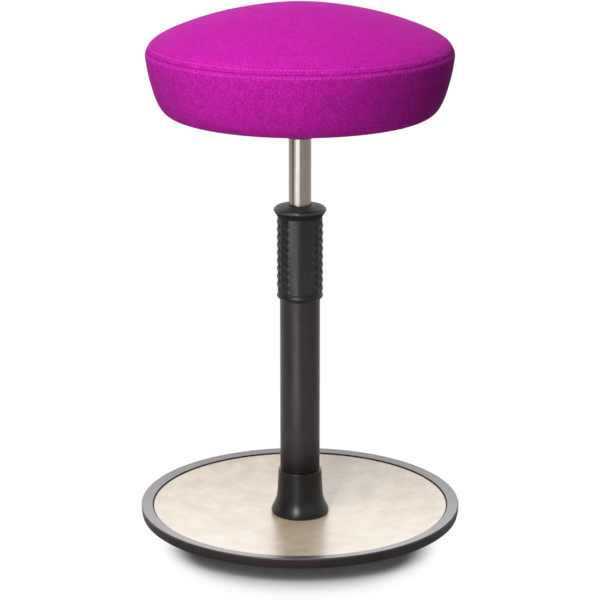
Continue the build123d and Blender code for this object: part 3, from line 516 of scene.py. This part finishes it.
ground_steel, place = start_material("ground_steel")
grind_lines = tool_marks(place, 1800, 3)
close_material(place, {
    "Base Color": shades(grind_lines, (0.3, paint(188, 178, 169)), (0.7, paint(198, 188, 179))),
    "Metallic": 1.0,
    "Roughness": 0.2 + 0.05 * grind_lines,
    "Anisotropic": 0.6,
    "Anisotropic Rotation": 0.25,
    "Normal": relief(grind_lines, 0.000002),
})
dress(ground_steel, "gas_cylinder")

# Seat board
# Birch plywood under the cushion. The plate is bolted up into its nuts, and the cover's
# hem is stapled round its underside.

PLY_COUNT = 9
PLY_EDGE = 0.1
PLY_SHARE = 0.3
WOOD_GRAIN = (12, 160, 160)

plywood, place = start_material("plywood")
board_low, board_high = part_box("seat_board")
ply = (along(place, "Z") - board_low.z) * (PLY_COUNT / (board_high.z - board_low.z))
ply_dark = fade(ply.sum("FLOORED_MODULO", ply, 2.0), 1 - PLY_EDGE, 1 + PLY_EDGE)
stretched = place.node("ShaderNodeMapping", {}, {"Vector": place, "Scale": WOOD_GRAIN})
wood_grain = noise(stretched, 1.0, 5)
close_material(place, {
    "Base Color": shades(
        wood_grain * (1 - PLY_SHARE) + ply_dark * PLY_SHARE,
        (0.2, paint(222, 196, 156)),
        (0.5, paint(204, 172, 128)),
        (0.8, paint(168, 132, 90)),
    ),
    "Roughness": 0.6 + 0.15 * wood_grain,
    "Normal": relief(wood_grain, 0.0001),
})
dress(plywood, "seat_board")

# Lining
# A disc of black non-woven cloth, stretched and tacked over the board's underside, with
# an opening for the hub and the lever.

LINING_HOLE = 0.027
LINING_SLOT_HALF = 0.015
LINING_SLOT_END = 0.095
LINING_THICK = 0.0008
LINING_EDGE_POINTS = 192
LINING_HOLE_POINTS = 60


def arc(radius, turns):
    """Points at a radius, at each of the turns."""
    return [(radius * math.cos(turn), radius * math.sin(turn)) for turn in turns]


def add_outline(curve, points):
    """Adds a closed outline to a flat curve."""
    spline = curve.splines.new("POLY")
    spline.points.add(len(points) - 1)
    for point, (x, y) in zip(spline.points, points):
        point.co = (x, y, 0, 1)
    spline.use_cyclic_u = True


lining_low, lining_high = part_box("dust_cover")
lining_curve = bpy.data.curves.new("lining", "CURVE")
lining_curve.dimensions = "2D"
lining_curve.fill_mode = "BOTH"
lining_curve.extrude = LINING_THICK / 2
edge_turns = np.linspace(0, 2 * math.pi, LINING_EDGE_POINTS, endpoint=False)
slot_turn = math.asin(LINING_SLOT_HALF / LINING_HOLE)
hole_turns = np.linspace(slot_turn, 2 * math.pi - slot_turn, LINING_HOLE_POINTS)
slot_end = [(LINING_SLOT_END, -LINING_SLOT_HALF), (LINING_SLOT_END, LINING_SLOT_HALF)]
add_outline(lining_curve, arc(lining_high.x, edge_turns))
add_outline(lining_curve, arc(LINING_HOLE, hole_turns) + slot_end)
lining_shape = add_object("lining_shape", lining_curve)
lining = add_object("seat_lining", finished_mesh(lining_shape))
for vertex in lining.data.vertices:
    vertex.co.z += (lining_low.z + lining_high.z) / 2

lining_cloth, place = start_material("lining_cloth")
felt_web = noise(place, 1500, 4, 0.7)
close_material(place, {
    "Base Color": shades(felt_web, (0.3, paint(22, 22, 23)), (0.75, paint(52, 52, 54))),
    "Roughness": 0.85 + 0.1 * felt_web,
    "Normal": relief(felt_web, 0.0002),
})
lining.data.materials.append(lining_cloth)
lining_area = math.pi * (lining_high.x ** 2 - LINING_HOLE ** 2)
lining_area -= 2 * LINING_SLOT_HALF * (LINING_SLOT_END - LINING_HOLE)
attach(lining, "seat")
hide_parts("dust_cover")

# Seat cushion
# A foam round on the board in a tight cover of magenta felt: a crown panel and a side band
# meet in a sewn seam, and the band is drawn under the board's edge and stapled there.

STITCH_COUNT = 234
STITCH_STEP = 3
SEGMENTS = STITCH_STEP * STITCH_COUNT
UPPER_STITCHES = 0.0050
LOWER_STITCHES = 0.0037
DOME_REACH = 0.160
DOME_RINGS = 41
SHOULDER_DROP = 0.0018
SHOULDER_RINGS = 13
SEAM_BRIDGE = 0.0032
SEAM_GROOVE = 0.0005
SEAM_GROOVE_HALF = 0.0007
SEAM_RISES = (0.0024, 0.0016, 0.0010, 0.0005, 0.0001)
BAND_FOOT = 0.012
BAND_RINGS = 28
BAND_EDGE_RISES = (0.0095, 0.0074, 0.0056, 0.0041, 0.0029, 0.0019, 0.0011, 0.0005, 0.0002)
HEM_START = 0.002
HEM_RINGS = 4
HEM_GAP = 0.0005
FOAM_GAP = 0.0004
POCKET_SLACK = 0.0001
POCKET_TOP = 0.001
LOOSE_REACH = 0.022
COVER_EASE = 0.03
PUCKER_MOST = 0.0006
CLOTH_FRAMES = 20
CLOTH_STIFFNESS = 18
SMALLEST = 1e-9

crown_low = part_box("cover_top_panel")[0]
band_low, band_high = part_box("cover_side_band")
seam_height = (crown_low.z + band_high.z) / 2
hem_inner = lining_high.x + HEM_GAP
upper_row = seam_height + UPPER_STITCHES
lower_row = seam_height - LOWER_STITCHES
upper_row_radius = skin_radius("cover_top_panel", upper_row)
lower_row_radius = skin_radius("cover_side_band", lower_row)


def crown_height(radius):
    """Height of the crown's skin at a radius, read off its solid."""
    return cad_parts["cover_top_panel"].ray_cast(Vector((radius, 0, 1)), Vector((0, 0, -1)))[1].z


bridge_rises = [1.5 * SEAM_BRIDGE, SEAM_BRIDGE, -SEAM_BRIDGE, -1.5 * SEAM_BRIDGE]
bridge_nodes = ["cover_top_panel", "cover_top_panel", "cover_side_band", "cover_side_band"]
bridge_radii = [skin_radius(node, seam_height + rise) for node, rise in zip(bridge_nodes, bridge_rises)]
bridge_curve = np.polyfit(bridge_rises, bridge_radii, 3)


def seam_point(rise):
    """A point of the sewn edges, which swell until only a narrow groove is left between them."""
    groove = SEAM_GROOVE * max(0.0, 1 - abs(rise) / SEAM_GROOVE_HALF)
    return (np.polyval(bridge_curve, rise) - groove, seam_height + rise)


dome = [(r, crown_height(r)) for r in np.linspace(0, DOME_REACH, DOME_RINGS)]
shoulder_heights = np.linspace(dome[-1][1] - SHOULDER_DROP, seam_height + SEAM_BRIDGE, SHOULDER_RINGS)
shoulder = [(skin_radius("cover_top_panel", z), z) for z in shoulder_heights]
shoulder += [seam_point(rise) for rise in SEAM_RISES]
band = [seam_point(-rise) for rise in reversed(SEAM_RISES)]
band_heights = np.linspace(seam_height - SEAM_BRIDGE, band_low.z + BAND_FOOT, BAND_RINGS)
edge_heights = band_low.z + np.array(BAND_EDGE_RISES)
band += [(skin_radius("cover_side_band", z), z) for z in (*band_heights, *edge_heights)]
hem = [(r, band_low.z) for r in np.linspace(band[-1][0] - HEM_START, hem_inner, HEM_RINGS)]
board_edge = board_high.x + FOAM_GAP
pocket = [
    (hem_inner, board_low.z),
    (board_edge, board_low.z),
    (board_edge, board_high.z + FOAM_GAP),
    (0.0, board_high.z + FOAM_GAP),
]
skin = dome + shoulder + band + hem
profile = skin + pocket
seam_ring = len(dome) + len(shoulder)


def lathe(profile, segments):
    """Points and faces of an outline turned about Z, closed at both ends on the axis."""
    turns = np.arange(segments) * (2 * math.pi / segments) - math.pi / 2
    rings = [(r * np.cos(turns), r * np.sin(turns), np.full(segments, z)) for r, z in profile[1:-1]]
    points = [(0, 0, profile[0][1])]
    points += [tuple(p) for ring in rings for p in np.stack(ring, axis=1)]
    points.append((0, 0, profile[-1][1]))
    last = len(points) - 1
    faces = []
    for i in range(segments):
        j = (i + 1) % segments
        faces.append((0, 1 + i, 1 + j))
        for ring in range(len(rings) - 1):
            first = 1 + ring * segments
            faces.append((first + i, first + segments + i, first + segments + j, first + j))
        end = 1 + (len(rings) - 1) * segments
        faces.append((end + i, last, end + j))
    return points, faces


def strip_mesh(strip):
    """A band of rings of points, one below the other, as a mesh."""
    quads = []
    for above in range(0, len(strip) - SEGMENTS, SEGMENTS):
        below = above + SEGMENTS
        for i in range(SEGMENTS):
            j = (i + 1) % SEGMENTS
            quads.append((above + i, below + i, below + j, above + j))
    mesh = bpy.data.meshes.new("cover_strip")
    mesh.from_pydata(strip, [], quads)
    return mesh


def settle(strip, pins):
    """How far each point of a strip of cover moves when only the pins hold it."""
    cloth_strip = add_object("cover_strip", strip_mesh(strip))
    cloth_strip.vertex_groups.new(name="pins").add(pins, 1.0, "REPLACE")
    cloth = cloth_strip.modifiers.new("cloth", "CLOTH")
    cloth.settings.quality = 6
    cloth.settings.mass = 0.25
    cloth.settings.tension_stiffness = CLOTH_STIFFNESS
    cloth.settings.compression_stiffness = CLOTH_STIFFNESS
    cloth.settings.shear_stiffness = CLOTH_STIFFNESS / 3
    cloth.settings.bending_stiffness = 0.4
    cloth.settings.vertex_group_mass = "pins"
    cloth.settings.shrink_min = -COVER_EASE
    cloth.settings.use_pressure = True
    cloth.settings.uniform_pressure_force = 4
    cloth.settings.effector_weights.gravity = 0
    cloth.point_cache.frame_end = CLOTH_FRAMES
    for moment in range(1, CLOTH_FRAMES + 1):
        bpy.context.scene.frame_set(moment)
    settled = cloth_strip.evaluated_get(bpy.context.evaluated_depsgraph_get()).to_mesh()
    moved = np.array([v.co for v in settled.vertices]) - np.array(strip)
    bpy.context.scene.frame_set(1)
    bpy.data.objects.remove(cloth_strip)
    length = np.linalg.norm(moved, axis=1, keepdims=True)
    return moved * np.minimum(1, PUCKER_MOST / np.maximum(length, SMALLEST))


def pucker(points):
    """How the cover moves when it is sewn down at each stitch with a little cloth to spare."""
    lengths = np.concatenate([[0], np.cumsum(np.hypot(*np.diff(np.array(skin), axis=0).T))])
    from_seam = lengths - lengths[seam_ring]
    loose = [i for i in range(1, len(skin)) if abs(from_seam[i]) < LOOSE_REACH]
    first, last = loose[0], loose[-1]
    start = 1 + (first - 1) * SEGMENTS
    strip = points[start:start + (last - first + 1) * SEGMENTS]
    upper = min(loose, key=lambda i: abs(profile[i][1] - upper_row))
    lower = min(loose, key=lambda i: abs(profile[i][1] - lower_row))
    held = {first, last, seam_ring - 1, seam_ring}
    pins = [(ring - first) * SEGMENTS + i for ring in held for i in range(SEGMENTS)]
    stitched = range(0, SEGMENTS, STITCH_STEP)
    pins += [(ring - first) * SEGMENTS + i for ring in (upper, lower) for i in stitched]
    share = 1 - np.abs(from_seam[first:last + 1]) / LOOSE_REACH
    weight = np.repeat(share * share * (3 - 2 * share), SEGMENTS)[:, None]
    whole = np.zeros((len(points), 3))
    whole[start:start + len(strip)] = settle(strip, pins) * weight
    return whole


points, faces = lathe(profile, SEGMENTS)
points = [tuple(p) for p in np.array(points) + pucker(points)]
cushion_mesh = bpy.data.meshes.new("seat_cushion")
cushion_mesh.from_pydata(points, [], faces)
cushion_mesh.shade_smooth()
cushion = add_object("seat_cushion", cushion_mesh)

# A painted shade darkens the seam's groove; it and the crown's calmer wool follow the height from the
# seam.
SEAM_SHADE_FULL = 0.0002
SEAM_SHADE_END = 0.0010
SEAM_SHADE_SHARE = 0.6
CALM_FROM = -0.004
CALM_AT = 0.012
CALM_SHARE = 0.3
WOOL_CONTRAST = 1.02

felt, place = start_material("magenta_felt")
felt_height = along(place, "Z") - seam_height
felt_side = place.node("ShaderNodeMath", {"operation": "ABSOLUTE"}, {0: felt_height})
seam_painted_shade = 1 - fade(felt_side, SEAM_SHADE_FULL, SEAM_SHADE_END)
wool = noise(place, 420, 3, 0.7)
wool_flecks = noise(place, 1100, 2, 0.6)
wool_clouds = noise(place, 70, 3)
wool_mixture = 0.55 * wool + 0.33 * wool_flecks + 0.12 * wool_clouds
calm = fade(felt_height, CALM_FROM, CALM_AT)
felt_colour = shades(
    0.5 + (wool_mixture - 0.5) * (WOOL_CONTRAST - CALM_SHARE * calm),
    (0.34, paint(118, 8, 96)),
    (0.46, paint(183, 23, 156)),
    (0.54, paint(200, 29, 172)),
    (0.66, paint(222, 54, 198)),
)
close_material(place, {
    "Base Color": mixed(SEAM_SHADE_SHARE * seam_painted_shade, felt_colour, paint(92, 6, 74)),
    "Roughness": 0.86 + 0.1 * wool_flecks,
    "Specular IOR Level": 0.15,
    "Sheen Weight": 0.08,
    "Sheen Roughness": 0.5,
    "Sheen Tint": paint(236, 90, 216),
    "Normal": relief(0.6 * wool + 0.4 * wool_flecks, 0.0006),
})
foam, place = start_material("foam")
cells = place.node("ShaderNodeTexVoronoi", {}, {"Vector": place, "Scale": 900.0})
close_material(place, {
    "Base Color": shades(cells, (0.1, paint(222, 208, 168)), (0.7, paint(243, 234, 206))),
    "Roughness": 0.9 + 0.08 * cells,
    "Normal": relief(cells, 0.0006),
})
cushion_mesh.materials.append(felt)
cushion_mesh.materials.append(foam)
for face in cushion_mesh.polygons:
    corners = [cushion_mesh.vertices[i].co for i in face.vertices]
    heights = [corner.z for corner in corners]
    reach = max(math.hypot(corner.x, corner.y) for corner in corners)
    inside = min(heights) > board_low.z - POCKET_SLACK and reach < board_edge + POCKET_SLACK
    face.material_index = 1 if inside and max(heights) < board_high.z + POCKET_TOP else 0
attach(cushion, "seat")
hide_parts("cover_top_panel", "cover_side_band", "foam_core")

# Seam stitches
# Two rows of topstitch hold the seam flat, one on the crown panel and one on the band, in
# a lighter pink thread that sinks into the felt.

STITCH_LENGTH = 0.0036
STITCH_THICK = 0.0008
STITCH_PROUD = 0.0001

thread, place = start_material("pink_thread")
twist = noise(place, 2600, 2)
close_material(place, {
    "Base Color": shades(twist, (0.3, paint(206, 52, 182)), (0.7, paint(224, 98, 208))),
    "Roughness": 0.6 + 0.2 * twist,
})


def stitch_rows(start, upper_radius, upper_height, lower_radius, lower_height, count, length, thick):
    """Two rings of short rounded stitches."""
    stitch = start.node("GeometryNodeMeshUVSphere", {}, {"Segments": 8, "Rings": 5, "Radius": 0.5})
    size = start.node("ShaderNodeCombineXYZ", {}, {"X": thick, "Y": thick, "Z": length})
    rows = []
    for radius, height in ((upper_radius, upper_height), (lower_radius, lower_height)):
        sockets = {"Resolution": count, "Radius": radius}
        circle = start.node("GeometryNodeCurvePrimitiveCircle", {"mode": "RADIUS"}, sockets)
        lift = start.node("ShaderNodeCombineXYZ", {}, {"Z": height})
        row = start.node("GeometryNodeSetPosition", {}, {"Geometry": circle, "Offset": lift})
        spots = start.node("GeometryNodeCurveToPoints", {"mode": "COUNT"}, {"Curve": row, "Count": count})
        rows.append(start.node("GeometryNodeInstanceOnPoints", {}, {
            "Points": spots,
            "Rotation": spots.twin("Rotation"),
            "Instance": stitch,
            "Scale": size,
        }))
    joined = start.node("GeometryNodeJoinGeometry", {}, {"Geometry": rows})
    return start.node("GeometryNodeSetShadeSmooth", {}, {0: joined})


stitches = node_piece("seam_stitches", stitch_rows, {
    "upper_radius": upper_row_radius + STITCH_PROUD,
    "upper_height": upper_row + STITCH_PROUD,
    "lower_radius": lower_row_radius + STITCH_PROUD,
    "lower_height": lower_row,
    "count": STITCH_COUNT,
    "length": STITCH_LENGTH,
    "thick": STITCH_THICK,
}, thread)
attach(stitches, "seat")

# Studio
# A pale floor that keeps the stool's shadow near it and runs out to white. A large soft
# light stands in front to the left and a wide one behind. Small ones give the shine: a low
# strip for the steel, a narrow beam for the boot, and two on the floor for tube and grip.

FLOOR_HALF = 6.0
# The floor is lit round the column and turns white between these reaches, later in front,
# where the shadow falls. A little white lifts the shadow too.
WHITE_FROM = 0.126
WHITE_AT = 0.160
WHITE_LEAN = 0.4
SHADOW_LIFT = 0.055
CONTACT_REACH = 0.16
# The floor is dull to light that bounces off it and pale to the camera.
FLOOR_DULL = 0.2
FLOOR_PALE = 0.78
FLOOR_WHITE_FROM = 0.6
# How bright the surroundings are: as light from all round, and as gloss shows them in front,
# to the right and behind. The pairs say where each part of the floor and the sky begins.
AMBIENT = 0.12
FRONT_LEVEL = 0.2
RIGHT_LEVEL = 0.46
FLOOR_BACK_LEVEL = 0.7
SKY_BACK_LEVEL = 1.0
FLOOR_RIGHT = (-0.4, 1.0)
FLOOR_BACK = (-0.5, 0.5)
SKY_RIGHT = (-0.1, 0.5)
SKY_BACK = (-0.1, 0.4)
COLUMN_MIDDLE = 0.4
LYING_HEIGHT = 0.004
BEAM_SPREAD = math.radians(14)

floor_corners = [(x * FLOOR_HALF, y * FLOOR_HALF, 0) for x, y in ((-1, -1), (1, -1), (1, 1), (-1, 1))]
floor_mesh = bpy.data.meshes.new("floor")
floor_mesh.from_pydata(floor_corners, [], [(0, 1, 2, 3)])
floor = add_object("floor", floor_mesh)


def white_seen(start, towards_right, towards_back, back_level):
    """How much of the white surroundings a ray shows: all to the camera, and in gloss or glass
    less in front of the stool than behind it, where the room is bright, or to its right."""
    names = ("Is Camera Ray", "Is Glossy Ray", "Is Transmission Ray")
    camera, glossy, through = (start.node("ShaderNodeLightPath", {}, {}, name) for name in names)
    mirrored = glossy.sum("MINIMUM", glossy + through, 1 - camera)
    front = FRONT_LEVEL + RIGHT_LEVEL * towards_right
    return camera + mirrored * (front + (back_level - front) * towards_back)


floor_paint, place = start_material("pale_floor")
floor_y = along(place, "Y")
floor_right = fade(along(place, "X"), *FLOOR_RIGHT)
floor_seen = white_seen(place, floor_right, fade(floor_y, *FLOOR_BACK), FLOOR_BACK_LEVEL)
# An ambient occlusion node paints a contact shade into the floor's colour near the stool, on top of the
# lamps' shadow.
painted_contact_shade = place.node("ShaderNodeAmbientOcclusion", {"samples": 16}, {"Distance": CONTACT_REACH}, "AO")
floor_tone = painted_contact_shade * (FLOOR_DULL + FLOOR_PALE * floor_seen)
floor_colour = mixed(floor_tone, (0, 0, 0, 1), (1, 1, 1, 1))
lit = place.node("ShaderNodeBsdfDiffuse", {}, {"Color": floor_colour})
white = place.node("ShaderNodeEmission", {}, {"Color": (1, 1, 1, 1), "Strength": 1.0})
clear = fade(from_axis(place) + WHITE_LEAN * floor_y, WHITE_FROM, WHITE_AT)
far = (SHADOW_LIFT + (1 - SHADOW_LIFT) * clear) * fade(floor_seen, FLOOR_WHITE_FROM, 1.0)
floor_surface = place.node("ShaderNodeMixShader", {}, {0: far, 1: lit, 2: white})
place.node("ShaderNodeOutputMaterial", {}, {"Surface": floor_surface})
floor_mesh.materials.append(floor_paint)

world = bpy.data.worlds.new("studio")
world.use_nodes = True
world.node_tree.nodes.clear()
sky = Socket(world.node_tree)
way = sky.node("ShaderNodeTexCoord", {}, {}, "Generated")
sky_right = fade(along(way, "X"), *SKY_RIGHT)
sky_seen = white_seen(sky, sky_right, fade(along(way, "Y"), *SKY_BACK), SKY_BACK_LEVEL)
glow = sky_seen.sum("MAXIMUM", sky_seen, AMBIENT)
light = sky.node("ShaderNodeBackground", {}, {"Color": (1, 1, 1, 1), "Strength": glow})
sky.node("ShaderNodeOutputWorld", {}, {"Surface": light})
bpy.context.scene.world = world


def add_lamp(name, width, length, power):
    """A rectangular soft light."""
    lamp = bpy.data.lights.new(name, "AREA")
    lamp.shape = "RECTANGLE"
    lamp.size = width
    lamp.size_y = length
    lamp.energy = power
    holder = add_object(name, lamp)
    holder.visible_camera = False
    return holder


def standing_light(name, turn, rise, distance, width, length, power, aim=COLUMN_MIDDLE):
    """A soft light at a turn from the front and a rise, in degrees, aimed at a height of the column."""
    turn = math.radians(turn)
    rise = math.radians(rise)
    flat = distance * math.cos(rise)
    away = Vector((flat * math.sin(turn), -flat * math.cos(turn), distance * math.sin(rise)))
    holder = add_lamp(name, width, length, power)
    holder.location = Vector((0, 0, aim)) + away
    holder.rotation_euler = (-away).to_track_quat("-Z", "Y").to_euler()
    return holder


def lying_light(name, turn, reach, width, length, power):
    """A soft light on the floor, at a turn from the front in degrees and a reach from the column."""
    turn = math.radians(turn)
    holder = add_lamp(name, width, length, power)
    holder.location = (reach * math.sin(turn), -reach * math.cos(turn), LYING_HEIGHT)
    holder.rotation_euler = (math.pi, 0, turn)


standing_light("key_light", turn=-30, rise=54, distance=2.6, width=1.9, length=1.9, power=71.0)
standing_light("strip_light", turn=-20, rise=-6.2, distance=1.25, width=0.85, length=0.17, power=1.4)
beam = standing_light(
    "glint_light", turn=-18, rise=31, distance=2.4, width=0.5, length=0.6, power=0.34, aim=boot_top / 2
)
beam.data.spread = BEAM_SPREAD
lying_light("tube_sheen", turn=-22, reach=0.90, width=0.38, length=0.95, power=2.2)
lying_light("grip_sheen", turn=-46, reach=1.62, width=0.75, length=0.50, power=4.2)
standing_light("back_light", turn=180, rise=14, distance=2.9, width=4.0, length=2.0, power=33.0)

# Camera
# A long lens in front, a little above the seat and tilted down.

CAMERA_PLACE = (0, -2.847, 1.096)
CAMERA_TILT = math.radians(74.31)

lens = bpy.data.cameras.new("camera")
lens.lens = 142.26
lens.sensor_width = 36.0
camera = add_object("camera", lens)
camera.location = CAMERA_PLACE
camera.rotation_euler = (CAMERA_TILT, 0, 0)
bpy.context.scene.camera = camera
bpy.context.scene.view_settings.view_transform = "Standard"
